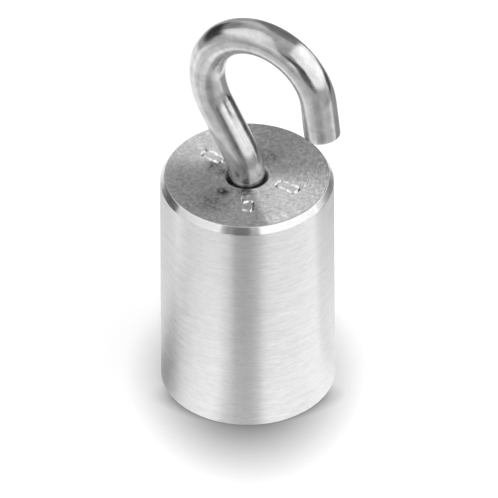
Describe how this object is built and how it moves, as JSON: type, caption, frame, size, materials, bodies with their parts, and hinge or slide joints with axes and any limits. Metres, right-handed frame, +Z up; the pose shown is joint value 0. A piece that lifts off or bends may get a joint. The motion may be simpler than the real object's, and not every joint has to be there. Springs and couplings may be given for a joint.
{
  "type": "calibration weight",
  "caption": "Turned cylindrical test weight with a bevelled top rim and an open round-bar hook screwed into the middle of its top face.",
  "frame": {"origin": "centre of the flat base, on the body's axis", "axes": "+Z up along the body's axis; the hook is bent in the XZ plane with its free tip towards +X"},
  "size_m": [0.0421, 0.038, 0.0989],
  "materials": {
    "turned_steel": "fine-turned bare stainless steel, circular tool marks on the side and the top face",
    "bar_steel": "smooth drawn bar, semi-bright, with faint bending and handling marks"
  },
  "bodies": {
    "root": {"weight_body": "turned_steel", "hook": "bar_steel"}
  },
  "joints": []
}
